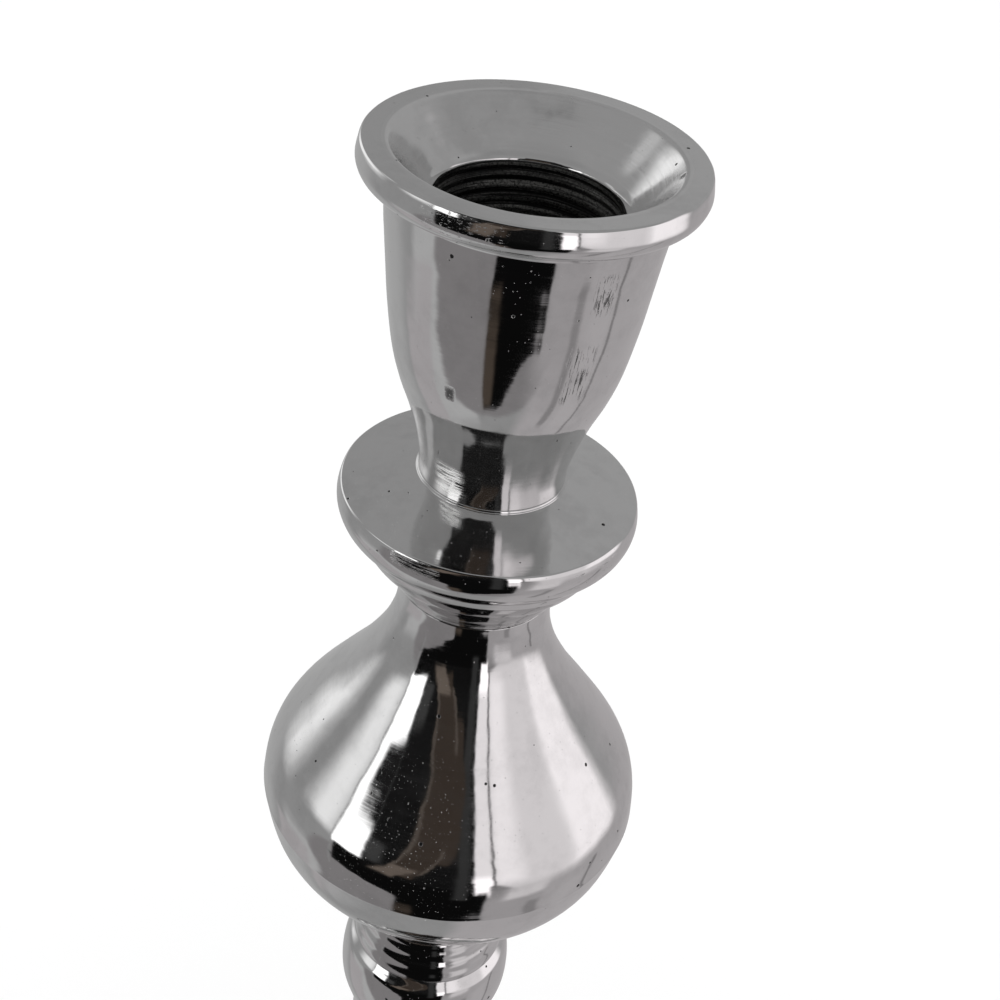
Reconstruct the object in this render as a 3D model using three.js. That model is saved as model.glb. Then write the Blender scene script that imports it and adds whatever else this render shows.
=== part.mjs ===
// A tall turned candlestick, built as it comes apart on a bench: plated castings
// stacked on spigots and clamped by one tie rod between the candle cup and the base.
// Units are millimetres, +Z is up, and the origin is under the felt, on the axis.
import * as THREE from 'three';

// ---- Driving dimensions ----------------------------------------------------
const HEIGHT = 330;          // table to the top of the lip
const BASE_R = 64;           // edge of the base
const LIP_R = 20.2;          // outer edge of the lip's flat top
const SOCKET_R = 11.24;      // bore that holds the candle
const SOCKET_FLOOR = 301.5;  // height of the bottom of the bore
const PAN_R = 19.85;         // side of the drip pan
const KNOP_R = 27.65;        // widest point of the pear knop
const KNOP_Z = 229;
const BALUSTER_R = 21.2;     // widest point of the lower stem
const BALUSTER_Z = 124;

// Heights of the joints between the castings, from the cup down.
const CUP_JOINT = 285.7;
const PAN_JOINT = 266.7;
const KNOP_JOINT = 201.8;
const COLLAR_JOINT = 178.5;
const BALUSTER_JOINT = 70;
const BASE_JOINT = 57;

const HALF_GAP = 0.15;       // each face stands this far back from its joint
const ROD_R = 4;             // M8 tie rod
const ROD_HOLE_R = 4.4;
const ROD_BOTTOM = 4.5;
const ROD_TOP = 298;
const ROD_CHAMFER = 0.6;
const SPIGOT_R = 6.5;        // locating spigot on top of each casting
const SPIGOT_LENGTH = 2.2;
const RECESS_R = 6.9;        // and the recess above it that it enters
const RECESS_DEPTH = 2.6;

const FELT_R = 62;
const FELT_THICKNESS = 1.5;
const SEAT_GAP = 0.3;        // clearance between stacked loose pieces
const BOSS_BOTTOM = 18;      // face inside the base that the washers bear on
const WASHER_R = 12;
const WASHER_THICKNESS = 2;
const LOCK_WASHER_R = 7.1;
const LOCK_WASHER_THICKNESS = 2;
const LOCK_WASHER_SLOT = 0.35;  // half angle of the split, in radians
const NUT_ACROSS_FLATS = 13;
const NUT_THICKNESS = 6.5;

const SIDES = 40;            // facets round each turned piece

// ---- Materials -------------------------------------------------------------
const plate = new THREE.MeshStandardMaterial({ color: 0xc9c9c7, roughness: 0.12, metalness: 1 });
const steel = new THREE.MeshStandardMaterial({ color: 0x9a9c9e, roughness: 0.4, metalness: 1 });
const felt = new THREE.MeshStandardMaterial({ color: 0x23261f, roughness: 1, metalness: 0 });

// ---- Outline helpers: an outline is a list of [radius, height] --------------
// A smooth curve through the given points.
function smooth(points, steps) {
  const curve = new THREE.SplineCurve(points.map(([r, z]) => new THREE.Vector2(r, z)));
  return curve.getPoints(steps).map((p) => [p.x, p.y]);
}

// A round stretch about a centre, from one angle to another, in degrees.
function arc([r, z], radius, from, to, steps) {
  return Array.from({ length: steps + 1 }, (_, i) => {
    const angle = THREE.MathUtils.degToRad(from + ((to - from) * i) / steps);
    return [r + radius * Math.cos(angle), z + radius * Math.sin(angle)];
  });
}

// Underside of a casting, from the rod hole outwards, with the spigot's recess in it.
function socketFace(joint) {
  const face = joint + HALF_GAP;
  return [[ROD_HOLE_R, face + RECESS_DEPTH], [RECESS_R, face + RECESS_DEPTH], [RECESS_R, face]];
}

// Top of a casting, from the outside in, with the spigot that locates the next one.
function spigotFace(joint) {
  const face = joint - HALF_GAP;
  const top = face + SPIGOT_LENGTH;
  return [[SPIGOT_R, face], [SPIGOT_R, top], [ROD_HOLE_R, top]];
}

// Turns an outline about the axis. It runs up the outside and down the inside.
function turned(name, outline, material) {
  const points = outline.map(([r, z]) => new THREE.Vector2(r, z));
  const geometry = new THREE.LatheGeometry(points, SIDES);
  geometry.rotateX(Math.PI / 2);
  const mesh = new THREE.Mesh(geometry, material);
  mesh.name = name;
  return mesh;
}

// Turns an outline that has a hole down the middle, so it closes on itself.
function turnedRing(name, outline, material) {
  return turned(name, [...outline, outline[0]], material);
}

// A flat ring of the given radii and height range.
function washer(name, inner, outer, bottom, top, material) {
  return turnedRing(name, [[inner, bottom], [outer, bottom], [outer, top], [inner, top]], material);
}

// ---- The castings, from the cup down ----------------------------------------
function candleCup() {
  const foot = CUP_JOINT + HALF_GAP;
  const rodHoleEnd = ROD_TOP + 1;
  const body = smooth([
    [9.7, foot + 0.3], [9.8, 288], [10.55, 291.5], [11.85, 295.7], [13.4, 299.7],
    [14.55, 303.8], [15.55, 309.8], [16.1, 314.5], [16.55, 318.6], [16.9, 321.4], [17.15, 324.5],
  ], 11);
  const underRim = smooth([[17.3, 324.9], [17.6, 325.15], [18.7, 325.65]], 3);
  const rim = smooth([[19.6, 326], [20.25, 326.6], [20.6, 327.3], [20.68, 328], [20.44, 329.4]], 6);
  const funnel = smooth([[17.1, HEIGHT], [16.2, 328.8], [15, 327.3], [13.3, 325.35], [11.9, 324]], 6);
  const bore = [[SOCKET_R, 323.3], [SOCKET_R, SOCKET_FLOOR + 0.6], [SOCKET_R - 0.6, SOCKET_FLOOR]];
  return turned('candle_cup', [
    [0, rodHoleEnd], [ROD_HOLE_R, rodHoleEnd],
    ...socketFace(CUP_JOINT), [9.4, foot],
    ...body, ...underRim, ...rim, [LIP_R, HEIGHT], ...funnel, ...bore, [0, SOCKET_FLOOR],
  ], plate);
}

function dripPan() {
  const lowerReed = smooth([[10.6, 267.3], [11.6, 268.3], [12.5, 269.8], [12.9, 271]], 3);
  const upperReed = smooth([[13.1, 271.4], [14.8, 272.6], [16.2, 274.6], [16.8, 276.5]], 3);
  const side = smooth([
    [17.1, 277], [18.3, 277.5], [19.2, 278.5], [19.72, 279.8], [PAN_R, 281], [19.62, 282.4],
  ], 8);
  const shedding = [[19.4, 282.9], [9.75, 285.35]];
  return turnedRing('drip_pan', [
    ...socketFace(PAN_JOINT), [10.4, PAN_JOINT + HALF_GAP],
    ...lowerReed, ...upperReed, ...side, ...shedding,
    [9.7, CUP_JOINT - HALF_GAP], ...spigotFace(CUP_JOINT),
  ], plate);
}

function pearKnop() {
  const lower = smooth([
    [9.9, 203.4], [10.9, 206.6], [14.6, 210.6], [19.9, 214.9], [23.7, 218.9], [26.2, 222.9],
    [KNOP_R, KNOP_Z],
  ], 10);
  const upper = smooth([
    [KNOP_R, KNOP_Z], [27.15, 233], [25.45, 237.1], [21.2, 243.1], [16.7, 249.2],
    [13.1, 255.3], [11.2, 260.2], [10.55, 264], [10.5, PAN_JOINT - HALF_GAP],
  ], 12);
  return turnedRing('pear_knop', [
    ...socketFace(KNOP_JOINT), [9.9, KNOP_JOINT + HALF_GAP],
    ...lower, ...upper.slice(1), ...spigotFace(PAN_JOINT),
  ], plate);
}

function knopCollar() {
  const bead = smooth([
    [11.5, 179.2], [12.5, 181.9], [13.3, 184.6], [13.57, 187], [13.45, 190], [12.95, 192.8],
    [12.1, 194.2],
  ], 8);
  const flare = smooth([[12, 195], [11.6, 197], [11, 199.2], [10.6, 200.9]], 4);
  return turnedRing('knop_collar', [
    ...socketFace(COLLAR_JOINT), [11.2, COLLAR_JOINT + HALF_GAP],
    ...bead, [11.8, 194.6], ...flare, [10.4, KNOP_JOINT - HALF_GAP],
    ...spigotFace(KNOP_JOINT),
  ], plate);
}

function stemBaluster() {
  const body = smooth([
    [11.5, BALUSTER_JOINT + HALF_GAP], [11, 76], [11.9, 84], [15, 93], [18.6, 103],
    [20.9, 113], [BALUSTER_R, BALUSTER_Z], [19.6, 136], [16.6, 147], [13.4, 157],
    [11.5, 166], [10.95, 174], [11.1, COLLAR_JOINT - HALF_GAP],
  ], 16);
  return turnedRing('stem_baluster', [
    ...socketFace(BALUSTER_JOINT), ...body, ...spigotFace(COLLAR_JOINT),
  ], plate);
}

function stemCollar() {
  const beadR = 4.3;
  const middle = (BALUSTER_JOINT + BASE_JOINT) / 2;
  return turnedRing('stem_collar', [
    ...socketFace(BASE_JOINT), [12.8, BASE_JOINT + HALF_GAP], [12.8, 58.6],
    ...arc([12.4, middle], beadR, -80, 80, 8),
    [12.2, 68.4], [12.2, BALUSTER_JOINT - HALF_GAP],
    ...spigotFace(BALUSTER_JOINT),
  ], plate);
}

function base() {
  const bottom = FELT_THICKNESS + SEAT_GAP;
  const edge = [[63, bottom], [BASE_R, bottom + 1], [BASE_R, 8.6], ...arc([62.4, 8.8], 1.6, 20, 90, 3)];
  const ogee = smooth([[60, 11], [55.5, 13.6], [51.5, 18], [46, 22.6], [39, 25.4], [37, 26]], 8);
  const astragal = arc([36.2, 28], 1.9, -70, 80, 5);
  const flare = smooth([
    [34, 30.4], [25, 34.2], [17.6, 40.4], [13.6, 47.4], [12.3, 53], [12.6, BASE_JOINT - HALF_GAP],
  ], 10);
  const hollow = smooth([[15, 29], [24, 27.5], [36, 22.4], [46, 16.2], [52, 10.4], [57.5, 7.4]], 7);
  return turnedRing('base', [
    [ROD_HOLE_R, BOSS_BOTTOM], [13, BOSS_BOTTOM], ...hollow,
    [58, 6.6], [58, bottom], ...edge, ...ogee, ...astragal, ...flare,
    ...spigotFace(BASE_JOINT),
  ], plate);
}

// ---- The clamping stack and the felt ----------------------------------------
function tieRod() {
  const tip = ROD_R - ROD_CHAMFER;
  return turned('tie_rod', [
    [0, ROD_BOTTOM], [tip, ROD_BOTTOM], [ROD_R, ROD_BOTTOM + ROD_CHAMFER],
    [ROD_R, ROD_TOP - ROD_CHAMFER], [tip, ROD_TOP], [0, ROD_TOP],
  ], steel);
}

// Lifts a flat shape by its thickness, with its lower face at the given height.
function extruded(name, shape, thickness, bottom, material) {
  const geometry = new THREE.ExtrudeGeometry(shape, {
    depth: thickness, bevelEnabled: false, curveSegments: SIDES / 2,
  });
  const mesh = new THREE.Mesh(geometry, material);
  mesh.position.z = bottom;
  mesh.name = name;
  return mesh;
}

function lockWasher(bottom) {
  const shape = new THREE.Shape();
  const end = 2 * Math.PI - LOCK_WASHER_SLOT;
  shape.absarc(0, 0, LOCK_WASHER_R, LOCK_WASHER_SLOT, end, false);
  shape.absarc(0, 0, ROD_HOLE_R, end, LOCK_WASHER_SLOT, true);
  shape.closePath();
  return extruded('lock_washer', shape, LOCK_WASHER_THICKNESS, bottom, steel);
}

function hexNut(bottom) {
  const cornerR = NUT_ACROSS_FLATS / Math.sqrt(3);
  const corners = Array.from({ length: 6 }, (_, i) => {
    const angle = (i * Math.PI) / 3;
    return new THREE.Vector2(cornerR * Math.cos(angle), cornerR * Math.sin(angle));
  });
  const shape = new THREE.Shape(corners);
  const hole = new THREE.Path();
  hole.absarc(0, 0, ROD_HOLE_R, 0, 2 * Math.PI, true);
  shape.holes.push(hole);
  return extruded('hex_nut', shape, NUT_THICKNESS, bottom, steel);
}

function feltPad() {
  const softEdge = 0.4;
  return turned('felt_pad', [
    [0, 0], [FELT_R, 0], [FELT_R, FELT_THICKNESS - softEdge],
    [FELT_R - softEdge, FELT_THICKNESS], [0, FELT_THICKNESS],
  ], felt);
}

const washerBottom = BOSS_BOTTOM - SEAT_GAP - WASHER_THICKNESS;
const lockBottom = washerBottom - SEAT_GAP - LOCK_WASHER_THICKNESS;
const nutBottom = lockBottom - SEAT_GAP - NUT_THICKNESS;

const candlestick = new THREE.Group();
candlestick.add(
  candleCup(), dripPan(), pearKnop(), knopCollar(), stemBaluster(), stemCollar(), base(),
  tieRod(),
  washer('spreader_washer', ROD_HOLE_R, WASHER_R, washerBottom, washerBottom + WASHER_THICKNESS, steel),
  lockWasher(lockBottom), hexNut(nutBottom), feltPad(),
);

export default candlestick;
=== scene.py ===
"""Looks of the turned candlestick: fine turned castings, polished plate, felt, and the studio."""

import math

import bpy
from mathutils import Matrix, Vector, noise


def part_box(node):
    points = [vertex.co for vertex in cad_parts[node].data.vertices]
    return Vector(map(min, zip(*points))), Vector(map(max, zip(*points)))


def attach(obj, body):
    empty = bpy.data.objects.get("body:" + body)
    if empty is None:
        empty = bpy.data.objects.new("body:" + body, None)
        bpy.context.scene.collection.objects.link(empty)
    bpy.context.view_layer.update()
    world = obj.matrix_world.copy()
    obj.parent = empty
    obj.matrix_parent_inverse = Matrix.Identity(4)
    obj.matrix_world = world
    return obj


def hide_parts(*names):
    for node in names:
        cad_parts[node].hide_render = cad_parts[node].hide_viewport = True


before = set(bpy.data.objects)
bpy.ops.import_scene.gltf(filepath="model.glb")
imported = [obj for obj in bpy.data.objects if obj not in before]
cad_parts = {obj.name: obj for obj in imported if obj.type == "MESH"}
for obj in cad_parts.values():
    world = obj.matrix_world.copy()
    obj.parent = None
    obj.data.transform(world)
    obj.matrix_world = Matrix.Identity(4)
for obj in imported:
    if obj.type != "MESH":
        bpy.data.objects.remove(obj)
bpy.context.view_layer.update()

# ---- Driving dimensions, in millimetres --------------------------------------
MM = 0.001
SIDES = 288            # facets round each turned piece
EDGE_R = 0.2           # rounding of each turned edge
HAND_WAVE = 0.035      # how far hand polishing leaves the surface from true
SEAM = 0.01            # half of the hairline between two castings
RIM_SHIFT = 0.18       # how far the rim was turned off the axis
RIPPLE_DEPTH = 0.03    # the faint rings above the collar's bead
RIPPLE_PITCH = 2.1

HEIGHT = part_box("candle_cup")[1].z / MM
LIP_R = 20.2
SOCKET_R = 11.24
SOCKET_TOP = 323.1
SOCKET_FLOOR = 301.5
SOCKET_RIDGES = 14
FUNNEL_R = 17.3
FUNNEL_BOTTOM = 324.1
FOOT_TOP = 293
PAN_R = 19.85
PAN_EDGE = 282.9
KNOP_R = 27.65
KNOP_Z = 229
COLLAR_BEAD_TOP = 194.6
BALUSTER_R = 21.2
BALUSTER_Z = 124
BASE_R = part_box("base")[1].x / MM
FELT_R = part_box("felt_pad")[1].x / MM
FELT_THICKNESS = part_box("felt_pad")[1].z / MM
ROD_HOLE_R = 4.4
SPIGOT_R = 6.5
SPIGOT_LENGTH = 2.2
RECESS_R = 6.9
RECESS_DEPTH = 2.6


def joint_below(upper, lower):
    """Height of the joint between two castings: halfway across the CAD's gap."""
    spigot_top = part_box(lower)[1].z / MM
    return (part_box(upper)[0].z / MM + spigot_top - SPIGOT_LENGTH) / 2


CUP_JOINT = joint_below("candle_cup", "drip_pan")
PAN_JOINT = joint_below("drip_pan", "pear_knop")
KNOP_JOINT = joint_below("pear_knop", "knop_collar")
COLLAR_JOINT = joint_below("knop_collar", "stem_baluster")
BALUSTER_JOINT = joint_below("stem_baluster", "stem_collar")
BASE_JOINT = joint_below("stem_collar", "base")


# ---- Outlines: lists of (radius, height) ---------------------------------------
def smooth(points, steps):
    """A smooth curve through the points: the CAD's own curve, with more steps."""
    pts = [Vector(p) for p in points]
    last = len(pts) - 1
    curve = []
    for i in range(steps + 1):
        at = min(i * last / steps, last - 1e-9)
        k, t = int(at), at - int(at)
        before, start, end, after = pts[max(k - 1, 0)], pts[k], pts[k + 1], pts[min(k + 2, last)]
        leave, arrive = (end - before) / 2, (after - start) / 2
        cubic = (2 * start - 2 * end + leave + arrive) * t ** 3
        square = (3 * end - 3 * start - 2 * leave - arrive) * t ** 2
        curve.append(tuple(cubic + square + leave * t + start))
    return curve


def arc(centre, radius, start, end, steps):
    """A round stretch about a centre, between two angles in degrees."""
    angles = [math.radians(start + (end - start) * i / steps) for i in range(steps + 1)]
    return [(centre[0] + radius * math.cos(a), centre[1] + radius * math.sin(a)) for a in angles]


def eased(outline, radius=EDGE_R, steps=2, least_turn=0.2):
    """The outline with a small rounding in place of each sharp corner."""
    result = [outline[0]]
    for before, corner, after in zip(outline, outline[1:], outline[2:]):
        corner = Vector(corner)
        back, on = Vector(before) - corner, Vector(after) - corner
        turn = math.pi - back.angle(on, math.pi)
        if turn < least_turn:
            result.append(tuple(corner))
            continue
        cut = min(radius * math.tan(turn / 2), 0.45 * back.length, 0.45 * on.length)
        start, end = corner + back.normalized() * cut, corner + on.normalized() * cut
        for i in range(steps + 1):
            t = i / steps
            result.append(tuple(start.lerp(corner, t).lerp(corner.lerp(end, t), t)))
    result.append(outline[-1])
    return result


def socket_face(joint):
    """Underside of a casting, from the rod hole outwards, with its locating recess."""
    face = joint + SEAM
    return [(ROD_HOLE_R, face + RECESS_DEPTH), (RECESS_R, face + RECESS_DEPTH), (RECESS_R, face)]


def spigot_face(joint):
    """Top of a casting, from the outside in, with its locating spigot."""
    face = joint - SEAM
    top = face + SPIGOT_LENGTH
    return [(SPIGOT_R, face), (SPIGOT_R, top), (ROD_HOLE_R, top)]


def cup_outline():
    foot = CUP_JOINT + SEAM
    rod_hole_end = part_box("tie_rod")[1].z / MM + 1
    body = smooth([
        (9.7, foot + 0.06), (9.8, 288), (10.55, 291.5), (11.85, 295.7), (13.4, 299.7),
        (14.55, 303.8), (15.55, 309.8), (16.1, 314.5), (16.55, 318.6), (16.87, 321.4), (17.13, 324.5),
    ], 76)
    under_rim = smooth([(17.25, 324.85), (17.6, 325.15), (18.7, 325.65)], 8)
    rim = smooth([(19.6, 326), (20.25, 326.6), (20.6, 327.3), (20.68, 328), (20.44, 329.4)], 24)
    lip = [(20.34, 329.75), (LIP_R - 0.05, HEIGHT), (17.9, HEIGHT)]
    funnel = smooth([
        (FUNNEL_R, HEIGHT - 0.08), (17, 329.75), (16.2, 328.8), (15, 327.3), (13.3, 325.35), (12.2, 324.25),
    ], 36)
    fillet = smooth([(12, FUNNEL_BOTTOM), (11.6, 323.85), (11.32, 323.5), (SOCKET_R, SOCKET_TOP)], 8)
    first_ridge = SOCKET_TOP - 0.1
    pitch = (first_ridge - SOCKET_FLOOR - 1) / SOCKET_RIDGES
    bore = []
    for i in range(SOCKET_RIDGES):
        top = first_ridge - i * pitch
        bore += [(SOCKET_R, top), (SOCKET_R + 0.05, top - 0.3 * pitch),
                 (SOCKET_R + 0.22, top - 0.55 * pitch), (SOCKET_R + 0.1, top - 0.8 * pitch)]
    bore += [(SOCKET_R, SOCKET_FLOOR + 0.6), (SOCKET_R - 0.6, SOCKET_FLOOR)]
    return [(0, rod_hole_end), (ROD_HOLE_R, rod_hole_end), *socket_face(CUP_JOINT), (9.68, foot),
            *body, *under_rim, *rim, *lip, *funnel, *fillet, *bore, (0, SOCKET_FLOOR)]


def pan_outline():
    lower_reed = smooth([(10.6, 267.3), (11.6, 268.3), (12.5, 269.8), (12.9, 271)], 12)
    upper_reed = smooth([(13.1, 271.4), (14.8, 272.6), (16.2, 274.6), (16.8, 276.5)], 14)
    side = smooth([
        (17.1, 277), (18.3, 277.5), (19.2, 278.5), (19.72, 279.8), (PAN_R, 281), (19.62, 282.4),
    ], 30)
    bead = arc((9.79, 285.26), 0.16, 0, 80, 6)
    return [*socket_face(PAN_JOINT), (10.45, PAN_JOINT + SEAM), *lower_reed, *upper_reed, *side,
            (19.5, 282.75), (19.35, 282.92), (10, 285.26), *bead, (9.78, CUP_JOINT - SEAM),
            *spigot_face(CUP_JOINT)]


def knop_outline():
    lower = smooth([
        (9.9, 203.4), (10.9, 206.6), (14.6, 210.6), (19.9, 214.9), (23.7, 218.9), (26.2, 222.9),
        (KNOP_R, KNOP_Z),
    ], 50)
    upper = smooth([
        (KNOP_R, KNOP_Z), (27.15, 233), (25.45, 237.1), (21.2, 243.1), (16.7, 249.2),
        (13.1, 255.3), (11.2, 260.2), (10.55, 264), (10.5, PAN_JOINT - SEAM),
    ], 80)
    return [*socket_face(KNOP_JOINT), (9.9, KNOP_JOINT + SEAM), *lower, *upper[1:],
            *spigot_face(PAN_JOINT)]


def knop_collar_outline():
    bead = smooth([
        (11.5, 179.2), (12.5, 181.9), (13.3, 184.6), (13.57, 187), (13.45, 190), (12.95, 192.8),
        (12.1, 194.2),
    ], 40)
    flare = [(r + RIPPLE_DEPTH * math.sin(2 * math.pi * (z - 195) / RIPPLE_PITCH), z)
             for r, z in smooth([(12, 195), (11.6, 197), (11, 199.2), (10.6, 200.9)], 60)]
    return [*socket_face(COLLAR_JOINT), (11.2, COLLAR_JOINT + SEAM), *bead,
            (11.8, COLLAR_BEAD_TOP), *flare, (10.4, KNOP_JOINT - SEAM),
            *spigot_face(KNOP_JOINT)]


def baluster_outline():
    body = smooth([
        (11.5, BALUSTER_JOINT + SEAM), (11, 76), (11.9, 84), (15, 93), (18.6, 103),
        (20.9, 113), (BALUSTER_R, BALUSTER_Z), (19.6, 136), (16.6, 147), (13.4, 157),
        (11.5, 166), (10.95, 174), (11.1, COLLAR_JOINT - SEAM),
    ], 110)
    return [*socket_face(BALUSTER_JOINT), *body, *spigot_face(COLLAR_JOINT)]


def stem_collar_outline():
    middle = (BALUSTER_JOINT + BASE_JOINT) / 2
    return [*socket_face(BASE_JOINT), (12.8, BASE_JOINT + SEAM), (12.8, 58.6),
            *arc((12.4, middle), 4.3, -80, 80, 40), (12.2, 68.4), (12.2, BALUSTER_JOINT - SEAM),
            *spigot_face(BALUSTER_JOINT)]


def base_outline():
    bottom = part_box("base")[0].z / MM
    boss_bottom = 18
    edge = [(63, bottom), (BASE_R, bottom + 1), (BASE_R, 8.6), *arc((62.4, 8.8), 1.6, 20, 90, 10)]
    ogee = smooth([(60, 11), (55.5, 13.6), (51.5, 18), (46, 22.6), (39, 25.4), (37, 26)], 40)
    astragal = arc((36.2, 28), 1.9, -70, 80, 20)
    flare = smooth([
        (34, 30.4), (25, 34.2), (17.6, 40.4), (13.6, 47.4), (12.3, 53), (12.6, BASE_JOINT - SEAM),
    ], 60)
    hollow = smooth([(15, 29), (24, 27.5), (36, 22.4), (46, 16.2), (52, 10.4), (57.5, 7.4)], 20)
    return [(ROD_HOLE_R, boss_bottom), (13, boss_bottom), *hollow, (58, 6.6), (58, bottom),
            *edge, *ogee, *astragal, *flare, *spigot_face(BASE_JOINT)]


def felt_outline():
    return [(0, 0), (FELT_R - 0.3, 0), (FELT_R, 0.3), (FELT_R, FELT_THICKNESS - 0.4),
            (FELT_R - 0.4, FELT_THICKNESS), (0, FELT_THICKNESS)]


# ---- Turning an outline into a mesh ---------------------------------------------
def rise(value, low, high):
    """0 up to low, 1 from high on, and even in between."""
    return min(max((value - low) / (high - low), 0), 1)


def waved(point):
    """A point of a casting, moved in or out a little as hand polishing leaves it."""
    x, y, z = point
    radius = math.hypot(x, y)
    if radius < SPIGOT_R + 1:
        return point
    broad = noise.noise(Vector((x / 9, y / 9, z / 9)))
    fluted = noise.noise(Vector((x / 3.5, y / 3.5, z / 14 + 50)))
    out = 1 + HAND_WAVE * (broad + 0.45 * fluted - 1.2) / radius
    shift = RIM_SHIFT * rise(z, 320, 326) * rise(radius, 11.5, 14.5)
    return (x * out + shift, y * out, z)


def turned(name, outline, materials, zone, wavy=True):
    """Turns an outline about the axis. zone picks the material of each stretch of it."""
    closed = outline[0][0] > 0
    points = eased([*outline, outline[0]] if closed else outline)
    if closed:
        points = points[:-1]
    verts, rings = [], []
    for radius, z in points:
        count = SIDES if radius > 0 else 1
        rings.append([len(verts) + k % count for k in range(SIDES)])
        for k in range(count):
            angle = 2 * math.pi * k / SIDES
            at = (radius * math.cos(angle), radius * math.sin(angle), z)
            verts.append([c * MM for c in (waved(at) if wavy else at)])
    faces, zones = [], []
    pairs = list(zip(rings, rings[1:])) + ([(rings[-1], rings[0])] if closed else [])
    ends = list(zip(points, points[1:])) + ([(points[-1], points[0])] if closed else [])
    for (low, high), (start, end) in zip(pairs, ends):
        middle = zone((start[0] + end[0]) / 2, (start[1] + end[1]) / 2)
        for k in range(SIDES):
            n = (k + 1) % SIDES
            corners = [low[k], low[n], high[n], high[k]]
            faces.append(list(dict.fromkeys(corners)))
            zones.append(middle)
    mesh = bpy.data.meshes.new(name)
    mesh.from_pydata(verts, [], faces)
    for material in materials:
        mesh.materials.append(material)
    mesh.polygons.foreach_set("material_index", zones)
    mesh.polygons.foreach_set("use_smooth", [True] * len(faces))
    piece = bpy.data.objects.new(name, mesh)
    bpy.context.scene.collection.objects.link(piece)
    weighted = piece.modifiers.new("even_normals", "WEIGHTED_NORMAL")
    weighted.weight = 60
    return piece


# ---- Materials ------------------------------------------------------------------
class Nodes:
    """A node tree, with short calls for the nodes used here."""

    def __init__(self, owner):
        owner.use_nodes = True
        self.owner = owner
        self.tree = owner.node_tree
        self.tree.nodes.clear()

    def link(self, source, target):
        self.tree.links.new(source, target)

    def put(self, value, target):
        """Sets a socket: links it to another socket, or gives it a plain value."""
        if isinstance(value, bpy.types.NodeSocket):
            self.link(value, target)
        else:
            target.default_value = value

    def math(self, kind, a, b=0.0, c=0.0):
        node = self.tree.nodes.new("ShaderNodeMath")
        node.operation = kind
        for value, target in zip((a, b, c), node.inputs):
            self.put(value, target)
        return node.outputs[0]

    def position(self):
        """The place on the object, in millimetres, as separate x, y and z."""
        coords = self.tree.nodes.new("ShaderNodeTexCoord")
        scale = self.tree.nodes.new("ShaderNodeVectorMath")
        scale.operation = "SCALE"
        self.link(coords.outputs["Object"], scale.inputs[0])
        scale.inputs["Scale"].default_value = 1 / MM
        split = self.tree.nodes.new("ShaderNodeSeparateXYZ")
        self.link(scale.outputs[0], split.inputs[0])
        return scale.outputs[0], split.outputs

    def radius(self, x, y):
        return self.math("SQRT", self.math("ADD", self.math("MULTIPLY", x, x), self.math("MULTIPLY", y, y)))

    def window(self, value, low, high, soft):
        """1 between two values and 0 outside, with soft edges."""
        return self.math("MULTIPLY", self.ramp(value, low - soft, low + soft),
                         self.ramp(value, high - soft, high + soft, 1.0, 0.0))

    def vector(self, x, y, z):
        node = self.tree.nodes.new("ShaderNodeCombineXYZ")
        for value, target in zip((x, y, z), node.inputs):
            self.put(value, target)
        return node.outputs[0]

    def noise(self, vector, scale, detail=2.0, roughness=0.5, w=None):
        node = self.tree.nodes.new("ShaderNodeTexNoise")
        node.noise_dimensions = "4D" if w is not None else "3D"
        self.put(vector, node.inputs["Vector"])
        if w is not None:
            self.put(w, node.inputs["W"])
        node.inputs["Scale"].default_value = scale
        node.inputs["Detail"].default_value = detail
        node.inputs["Roughness"].default_value = roughness
        return node.outputs["Fac"]

    def cells(self, vector, scale, randomness=1.0):
        node = self.tree.nodes.new("ShaderNodeTexVoronoi")
        self.put(vector, node.inputs["Vector"])
        node.inputs["Scale"].default_value = scale
        node.inputs["Randomness"].default_value = randomness
        return node.outputs["Distance"], node.outputs["Color"]

    def ramp(self, value, low, high, start=0.0, end=1.0):
        node = self.tree.nodes.new("ShaderNodeMapRange")
        node.interpolation_type = "SMOOTHSTEP"
        for v, name in ((value, "Value"), (low, "From Min"), (high, "From Max"),
                        (start, "To Min"), (end, "To Max")):
            self.put(v, node.inputs[name])
        return node.outputs[0]

    def mix(self, factor, first, second):
        node = self.tree.nodes.new("ShaderNodeMix")
        node.data_type = "RGBA"
        self.put(factor, node.inputs["Factor"])
        self.put(first, node.inputs["A"])
        self.put(second, node.inputs["B"])
        return node.outputs["Result"]

    def bump(self, height, strength, distance, normal=None):
        node = self.tree.nodes.new("ShaderNodeBump")
        self.link(height, node.inputs["Height"])
        node.inputs["Strength"].default_value = strength
        node.inputs["Distance"].default_value = distance
        if normal is not None:
            self.link(normal, node.inputs["Normal"])
        return node.outputs["Normal"]


class Surface(Nodes):
    """A material with one shader."""

    def __init__(self, name):
        super().__init__(bpy.data.materials.new(name))
        self.shader = self.tree.nodes.new("ShaderNodeBsdfPrincipled")
        output = self.tree.nodes.new("ShaderNodeOutputMaterial")
        self.link(self.shader.outputs["BSDF"], output.inputs["Surface"])

    def set(self, name, value):
        self.put(value, self.shader.inputs[name])


def turning_lines(n, fineness, detail=3.0):
    """Fine lines left round a turned surface: noise that runs along the circle."""
    _, (x, y, z) = n.position()
    along = n.vector(n.math("MULTIPLY", x, 0.05), n.math("MULTIPLY", y, 0.05),
                     n.math("MULTIPLY", z, fineness))
    return n.noise(along, 1.0, detail, 0.6, w=n.math("MULTIPLY", n.radius(x, y), fineness))


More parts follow.
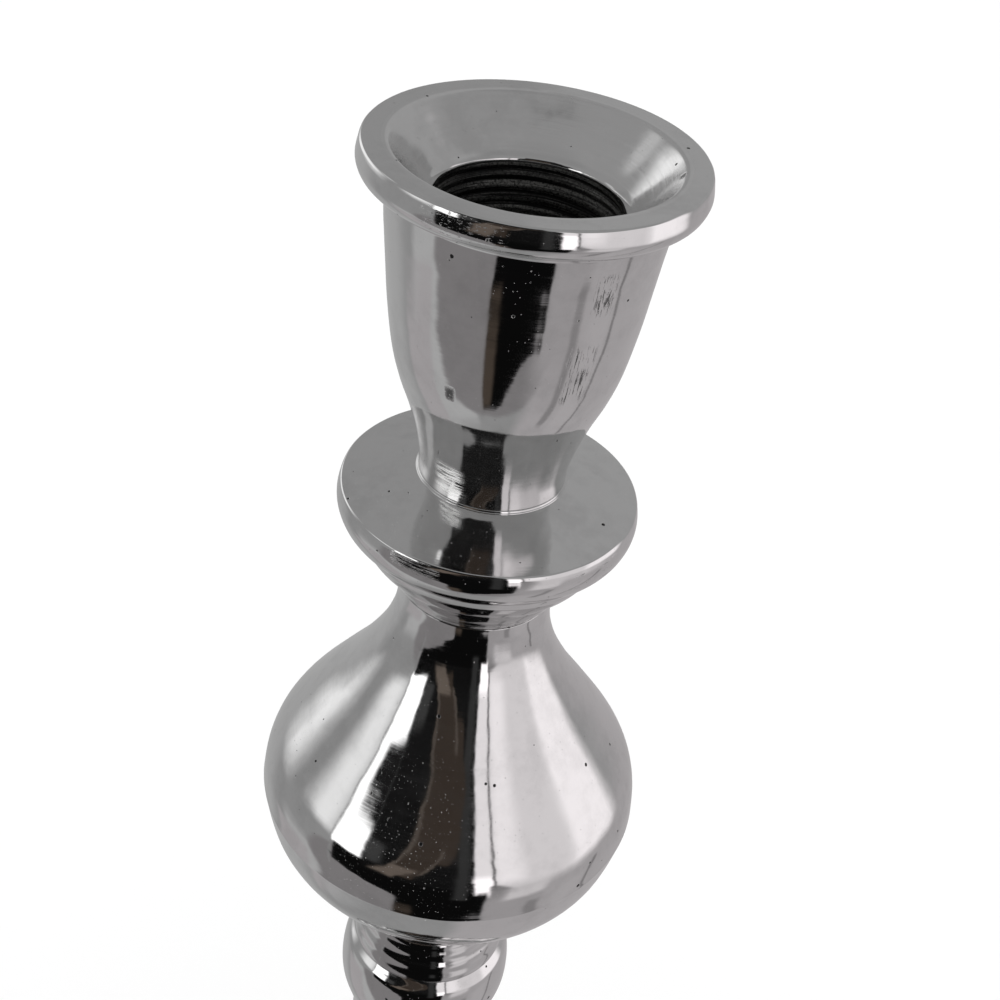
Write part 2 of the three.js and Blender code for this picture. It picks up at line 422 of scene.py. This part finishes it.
def casting_pits(n, place, scale, keep, size=0.2):
    """Scattered pinholes of a casting: 1 in a pit and 0 outside. keep is the share of cells with one."""
    distance, colour = n.cells(place, scale)
    split = n.tree.nodes.new("ShaderNodeSeparateColor")
    n.link(colour, split.inputs[0])
    reach = n.math("MULTIPLY", split.outputs[1], size)
    inside = n.ramp(n.math("SUBTRACT", distance, reach), 0.0, 0.06, 1.0, 0.0)
    chosen = n.math("LESS_THAN", split.outputs[0], keep)
    return n.math("MULTIPLY", inside, chosen)


# Worn patches, and patches of painted highlights and glints: the angles from the front and the heights they
# lie between, how fine their marks are round the piece and up it, and the share of the patch they fill.
DARK_SCRATCHES = [
    ((-30, -8), (327.0, 329.4), 1.6, 5.0, 0.42),     # knocks on the front of the rim
    ((32, 40), (317.5, 322), 3.2, 0.5, 0.5),         # two worn spots down the side of the cup
    ((27, 38), (305, 312.5), 2.8, 0.3, 0.47),
    ((-26.5, -22.5), (303.4, 305), 2.0, 2.2, 0.66),  # a flaw low on the cup
    ((86, 89), (329.2, 329.8), 1.0, 1.0, 0.9),       # a deep pit where the lip meets the funnel
    ((-31, -16), (281.2, 282.5), 0.25, 6.0, 0.5),    # scores along the edge of the pan
    ((32, 58), (279.2, 281.8), 0.35, 3.2, 0.42),
    ((24, 52), (214, 219), 0.3, 2.4, 0.42),          # and along the shoulder under the knop
    ((-75, -40), (217, 222), 0.2, 2.6, 0.36),
]
# Near-white patches: painted highlights and glints on the cup's foot and the knop, and bare metal in the
# knocks on the rim.
GLINTS_AND_BARE_METAL_PATCHES = [
    ((-43, -21), (286.4, 290.8), 0.1, 3.2, 0.58),    # a painted highlight on the cup's foot, streaked along its turning lines
    ((-30, -10), (327.2, 329.2), 2.6, 4.0, 0.35),    # bare metal in the knocks on the rim
    ((-34, 4), (228, 249), 4.5, 3.0, 0.38),          # painted glints: white specks for light caught by tiny bumps on the knop
]


def patch_marks(n, patches):
    """1 in the marks of the listed patches, worn marks and painted glints alike, and 0 elsewhere."""
    _, (x, y, z) = n.position()
    angle = n.math("DEGREES", n.math("ARCTAN2", x, n.math("MULTIPLY", y, -1.0)))
    total = 0.0
    for angles, heights, grain_round, grain_up, share in patches:
        place = n.vector(n.math("MULTIPLY", angle, grain_round / 3), n.math("MULTIPLY", z, grain_up), 0.0)
        scratches = n.ramp(n.noise(place, 1.0, 4.0, 0.65), 1.02 - share, 1.1 - share)
        soft_round = min(6.0, (angles[1] - angles[0]) / 4)
        soft_up = min(0.8, (heights[1] - heights[0]) / 4)
        inside = n.math("MULTIPLY", n.window(angle, *angles, soft_round), n.window(z, *heights, soft_up))
        total = n.math("MAXIMUM", total, n.math("MULTIPLY", scratches, inside))
    return total


def plated_metal(name, roughness=0.06, lines=0.12, tint=(0.706, 0.703, 0.702)):
    """Polished nickel plate over a cast and turned body, with painted highlights and glints in some patches
    of its colour. lines is the depth of its turning lines.
    """
    n = Surface(name)
    place, _ = n.position()
    ring_lines = turning_lines(n, 5.0)
    steps = turning_lines(n, 1.6, 1.0)
    broad = n.noise(place, 0.07, 3.0, 0.55)
    smudge = n.noise(place, 0.35, 4.0, 0.6)
    pits = n.math("MAXIMUM", casting_pits(n, place, 0.8, 0.035), casting_pits(n, place, 2.2, 0.012))
    crowd = n.ramp(n.noise(place, 0.16, 2.0, 0.5), 0.46, 0.6, 0.02, 0.25)
    specks = casting_pits(n, place, 2.4, crowd, 0.12)
    marks = n.math("MAXIMUM", pits, n.math("MULTIPLY", patch_marks(n, DARK_SCRATCHES), 0.8))
    # Painted highlights and glints: near-white colour in the foot and knop patches, with bare metal in the
    # knocks on the rim.
    glints_and_bare_metal = patch_marks(n, GLINTS_AND_BARE_METAL_PATCHES)
    clean = (*tint, 1.0)
    dull = (*(0.9 * level for level in tint), 1.0)
    colour = n.mix(n.ramp(n.math("MULTIPLY", broad, smudge), 0.18, 0.42), clean, dull)
    worn_dark = n.mix(marks, colour, (0.04, 0.04, 0.04, 1.0))
    n.set("Base Color", n.mix(glints_and_bare_metal, worn_dark, (0.95, 0.95, 0.94, 1.0)))
    n.set("Metallic", n.ramp(glints_and_bare_metal, 0.0, 1.0, 1.0, 0.25))
    worn = n.ramp(ring_lines, 0.35, 0.75, roughness * 0.75, roughness * 1.5)
    soft = n.math("ADD", worn, n.ramp(smudge, 0.5, 0.75, 0.0, roughness * 0.6))
    rough_marks = n.math("MULTIPLY", n.math("MAXIMUM", marks, glints_and_bare_metal), 0.35)
    n.set("Roughness", n.math("ADD", soft, rough_marks))
    polish = n.bump(ring_lines, lines, 0.012 * MM)
    turned_steps = n.bump(steps, 0.5, 0.006 * MM, polish)
    hand = n.bump(n.noise(place, 0.22, 2.0, 0.5), 0.5, 0.05 * MM, turned_steps)
    dents = n.math("MAXIMUM", marks, specks)
    n.set("Normal", n.bump(n.math("SUBTRACT", 1.0, dents), 0.8, 0.1 * MM, hand))
    return n.owner


def bore_metal():
    """The rough-turned inside of the candle's bore. Its colour is painted light: near-black shade down the
    bore, and painted highlights along its turning rings.
    """
    n = Surface("rough_bore")
    place, _ = n.position()
    rings = turning_lines(n, 2.8)
    grain = n.noise(place, 3.5, 5.0, 0.7)
    # Painted light: near-black shade between the turning rings, and lighter painted highlights along them.
    painted_ring_highlight = n.math("MULTIPLY", n.ramp(rings, 0.42, 0.62), n.ramp(grain, 0.3, 0.6))
    n.set("Base Color", n.mix(painted_ring_highlight, (0.012, 0.012, 0.012, 1), (0.26, 0.26, 0.25, 1)))
    n.set("Metallic", 0.9)
    n.set("Roughness", n.ramp(grain, 0.3, 0.7, 0.25, 0.5))
    n.set("Normal", n.bump(n.math("ADD", rings, grain), 0.7, 0.2 * MM))
    return n.owner


def zinc_metal():
    """Zinc plated steel of the rod and its fasteners."""
    n = Surface("zinc_steel")
    place, _ = n.position()
    cloud = n.noise(place, 0.6, 4.0, 0.6)
    n.set("Base Color", n.mix(cloud, (0.42, 0.43, 0.45, 1), (0.66, 0.66, 0.64, 1)))
    n.set("Metallic", 1.0)
    n.set("Roughness", n.ramp(cloud, 0.3, 0.7, 0.28, 0.45))
    n.set("Normal", n.bump(n.noise(place, 4.0, 4.0, 0.7), 0.5, 0.05 * MM))
    return n.owner


def felt_cloth():
    """Pressed wool felt: matted fibres with a soft sheen."""
    n = Surface("felt")
    place, _ = n.position()
    fibres = n.noise(place, 3.0, 8.0, 0.75)
    mats = n.noise(place, 0.5, 4.0, 0.6)
    depth = n.math("MULTIPLY", fibres, mats)
    n.set("Base Color", n.mix(depth, (0.012, 0.014, 0.012, 1), (0.10, 0.105, 0.09, 1)))
    n.set("Roughness", 0.95)
    n.set("Sheen Weight", 0.5)
    n.set("Sheen Roughness", 0.6)
    n.set("Normal", n.bump(fibres, 1.0, 0.4 * MM))
    return n.owner


# ---- The pieces -------------------------------------------------------------------
bright = plated_metal("polished_plate")
brushed = plated_metal("brushed_plate", roughness=0.13, lines=0.2, tint=(0.678, 0.676, 0.675))
satin = plated_metal("satin_plate", roughness=0.15, lines=0.06)
foot = plated_metal("turned_plate", roughness=0.07, lines=0.25)
bore = bore_metal()
zinc = zinc_metal()
felt = felt_cloth()

BRIGHT, BRUSHED, SATIN, FOOT, BORE = range(5)
finishes = [bright, brushed, satin, foot, bore]


# The finish of each stretch of an outline, by the radius and the height of its middle.
def cup_zone(radius, height):
    if SOCKET_FLOOR - 0.1 < height < SOCKET_TOP and radius < SOCKET_R + 0.6:
        return BORE
    if height > FUNNEL_BOTTOM and radius < (FUNNEL_R if height > 326 else 15):
        return SATIN
    if height > HEIGHT - 0.02:
        return BRUSHED
    return FOOT if height < FOOT_TOP else BRIGHT


def collar_zone(radius, height):
    return FOOT if height > COLLAR_BEAD_TOP else BRIGHT


def pan_zone(radius, height):
    return FOOT if height > PAN_EDGE else BRIGHT


def plain_zone(radius, height):
    """The first finish all over."""
    return 0


castings = {
    "candle_cup": (cup_outline(), cup_zone),
    "drip_pan": (pan_outline(), pan_zone),
    "pear_knop": (knop_outline(), plain_zone),
    "knop_collar": (knop_collar_outline(), collar_zone),
    "stem_baluster": (baluster_outline(), plain_zone),
    "stem_collar": (stem_collar_outline(), plain_zone),
    "base": (base_outline(), plain_zone),
}
for node, (outline, zone) in castings.items():
    piece = turned(node + "_look", outline, finishes, zone)
    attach(piece, "root")
    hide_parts(node)

felt_piece = turned("felt_pad_look", felt_outline(), [felt], plain_zone, wavy=False)
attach(felt_piece, "root")
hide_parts("felt_pad")

for node in ("tie_rod", "spreader_washer", "lock_washer", "hex_nut"):
    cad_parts[node].data.materials.clear()
    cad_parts[node].data.materials.append(zinc)


# ---- The studio -------------------------------------------------------------------
def studio_floor():
    """A plain pale floor under the candlestick. The polish shows the studio instead of it."""
    mesh = bpy.data.meshes.new("floor")
    reach = 12.0
    mesh.from_pydata([(-reach, -reach, 0), (reach, -reach, 0), (reach, reach, 0), (-reach, reach, 0)],
                     [], [(0, 1, 2, 3)])
    n = Surface("pale_floor")
    n.set("Base Color", (0.92, 0.92, 0.92, 1))
    n.set("Roughness", 0.9)
    mesh.materials.append(n.owner)
    floor = bpy.data.objects.new("floor", mesh)
    bpy.context.scene.collection.objects.link(floor)
    floor.visible_glossy = False


def grey(level):
    return (level, level, level, 1.0)


def rosy(level):
    """The warmer grey of the right-hand side of the room."""
    return (level * 1.02, level * 0.975, level * 0.99, 1.0)


class Room(Nodes):
    """The room as a mirror sees it, by azimuth from the front and elevation, in degrees."""

    def __init__(self, owner, backdrop):
        super().__init__(owner)
        coords = self.tree.nodes.new("ShaderNodeTexCoord")
        split = self.tree.nodes.new("ShaderNodeSeparateXYZ")
        self.link(coords.outputs["Generated"], split.inputs[0])
        x, y, z = split.outputs
        self.azimuth = self.math("DEGREES", self.math("ARCTAN2", x, self.math("MULTIPLY", y, -1.0)))
        self.elevation = self.math("DEGREES", self.math("ARCSINE", z))
        ripple = self.math("SUBTRACT", self.noise(coords.outputs["Generated"], 9.0, 3.0), 0.5)
        self.azimuth = self.math("MULTIPLY_ADD", ripple, 3.0, self.azimuth)
        self.elevation = self.math("MULTIPLY_ADD", ripple, -3.0, self.elevation)
        self.view = backdrop

    def between(self, low, high, soft, lean=(0, 0)):
        """1 between two azimuths, each of which may lean sideways with the elevation."""
        left = self.math("MULTIPLY_ADD", self.elevation, -lean[0], self.azimuth)
        right = self.math("MULTIPLY_ADD", self.elevation, -lean[1], self.azimuth)
        return self.math("MULTIPLY", self.ramp(left, low - soft, low + soft),
                         self.ramp(right, high - soft, high + soft, 1.0, 0.0))

    def hang(self, mask, colour):
        self.view = self.mix(mask, self.view, colour)

    def panel(self, azimuths, elevations, colour, soft=1.0, lean=(0, 0), soft_rise=None):
        """Hangs a panel in front of what is there, between azimuths and elevations."""
        rise = soft if soft_rise is None else soft_rise
        tall = self.window(self.elevation, *elevations, rise)
        self.hang(self.math("MULTIPLY", self.between(*azimuths, soft, lean), tall), colour)

    def oval(self, centre, radii, colour, soft=0.1):
        """Hangs an oval panel. soft is a share of its radius."""
        parts = []
        for value, middle, radius in zip((self.azimuth, self.elevation), centre, radii):
            part = self.math("DIVIDE", self.math("SUBTRACT", value, middle), radius)
            parts.append(self.math("MULTIPLY", part, part))
        reach = self.math("SQRT", self.math("ADD", *parts))
        self.hang(self.ramp(reach, 1 - soft, 1 + soft, 1.0, 0.0), colour)


def studio_light():
    """Plain white light all round. Polish mirrors the panels, flags and people of the room instead."""
    world = bpy.data.worlds.new("studio")
    bpy.context.scene.world = world
    room = Room(world, grey(0.34))
    # The room behind the candlestick, and the ceiling.
    room.panel((110, 200), (-5, 75), grey(0.40), soft=20)
    room.panel((-200, -118), (-70, -5), grey(0.45), soft=12)
    room.panel((-100, -30), (-66, -27), grey(0.5), soft=5)
    room.panel((-200, 200), (63, 95), grey(0.31), soft=6)
    # The bright side on the right: a wide diffuser, a lamp in it, and its near edge.
    room.panel((28, 175), (-95, -8), rosy(0.46), soft=12)
    room.panel((20, 80), (-20, 30), rosy(0.84), soft=8, soft_rise=5)
    room.panel((32, 48), (-8, 30), rosy(1.1), soft=6)
    room.panel((78, 112), (-20, 24), rosy(1.2), soft=6)
    room.oval((-14, -30), (62, 31), rosy(0.25), soft=0.05)
    room.panel((25, 60), (-50, -20), rosy(0.4), soft=10)
    room.panel((38, 62), (-30, -18), rosy(0.72), soft=4)
    room.panel((55, 63), (-62, -38), rosy(0.28), soft=2)
    room.panel((72, 94), (-62, -36), rosy(0.49), soft=4)
    room.panel((96, 99), (-62, -28), rosy(0.24), soft=1)
    room.panel((-112, -80), (-64, -36), rosy(0.45), soft=3)
    room.panel((30.4, 32.4), (-14, 30), rosy(0.2), soft=0.8)
    room.panel((20.5, 30.6), (0, 37), rosy(1.0), soft=0.8, soft_rise=5)
    room.panel((20.5, 30.6), (-19, 2), rosy(1.6), soft=0.8, soft_rise=5)
    # The window side on the left, with a faint glow above it.
    room.panel((-150, -106), (-8, 20), grey(1.15), soft=10, soft_rise=7)
    room.oval((-110, 30), (8, 6), grey(0.62), soft=0.4)
    room.panel((-82, -60), (0, 24), grey(1.05), soft=9, soft_rise=5)
    room.panel((-61, -59.5), (-30, 24), grey(0.3), soft=0.8)
    room.panel((-59.5, -42), (-5, 27), grey(1.8), soft=1.2)
    # The dark middle, where the photographer stands.
    room.panel((-58, 22), (-22, -4), grey(0.004), soft=1.0)
    room.panel((-115, 22), (-34, -19), grey(0.004), soft=1.2, lean=(-2.85, 0))
    room.panel((-41, 21), (-12, 40), grey(0.006), soft=1.2)
    room.panel((-51, 18), (27, 43), grey(0.012), soft=2.0)
    room.panel((-112, 14), (38, 51), grey(0.012), soft=1.5, lean=(1.6, 0))
    room.panel((-21, 29), (-42, -18), grey(0.004), soft=1.2)
    room.panel((-21, 97), (-57, -38), grey(0.004), soft=1.5, lean=(0, 1.8))
    room.panel((-54, -40), (18.5, 31), grey(0.008), soft=1.6, soft_rise=2.5)
    room.panel((-41, -31), (0, 16), grey(0.05), soft=2.5)
    room.panel((11, 18), (-24, 30), grey(0.035), soft=2.0)
    # An arm held out over the candlestick: the sleeve, its lit edges and the hand.
    sleeve = (0.044, 0.033, 0.026, 1)
    lit = (0.095, 0.078, 0.066, 1)
    room.panel((-27, -3), (14, 31), sleeve, soft=1.4, lean=(0.5, 0.6))
    room.panel((-27, -9), (-7, 15), sleeve, soft=1.4, lean=(0.5, 0.5))
    room.panel((-28, -25.5), (2, 31), lit, soft=0.9, lean=(0.5, 0.5))
    room.panel((-10, -8), (0, 22), lit, soft=0.9, lean=(0.55, 0.55))
    room.panel((-28, -14), (-10, 5), (0.15, 0.122, 0.102, 1), soft=2.0, lean=(0.8, 0.8))
    room.panel((-22, -11.5), (-56, -41), (0.075, 0.058, 0.046, 1), soft=2.5)

    tree, link = room.tree, room.link
    path = tree.nodes.new("ShaderNodeLightPath")
    output = tree.nodes.new("ShaderNodeOutputWorld")
    emission = tree.nodes.new("ShaderNodeBackground")
    link(room.mix(path.outputs["Is Glossy Ray"], grey(1.12), room.view), emission.inputs["Color"])
    link(emission.outputs[0], output.inputs["Surface"])


def photo_camera():
    """The camera, close above the lip and looking down at the upper half of the candlestick."""
    camera = bpy.data.objects.new("camera", bpy.data.cameras.new("camera"))
    bpy.context.scene.collection.objects.link(camera)
    bpy.context.scene.camera = camera
    distance, above = 8.4411 * LIP_R, 3.6251 * LIP_R
    pitch, yaw, roll = 0.6236, 0.0095, -0.1443
    camera.data.sensor_width = 36
    camera.data.lens = 36 * 1.5964
    camera.data.clip_start = 0.01
    forward = Vector((math.sin(yaw) * math.cos(pitch), math.cos(yaw) * math.cos(pitch), -math.sin(pitch)))
    right = Vector((math.cos(yaw), -math.sin(yaw), 0))
    down = forward.cross(right)
    right, down = (right * math.cos(roll) + down * math.sin(roll),
                   down * math.cos(roll) - right * math.sin(roll))
    turn = Matrix((right, -down, -forward)).transposed().to_4x4()
    place = Matrix.Translation(Vector((0, -distance, HEIGHT + above)) * MM)
    camera.matrix_world = place @ turn


studio_floor()
studio_light()
photo_camera()
bpy.context.scene.view_settings.view_transform = "Standard"
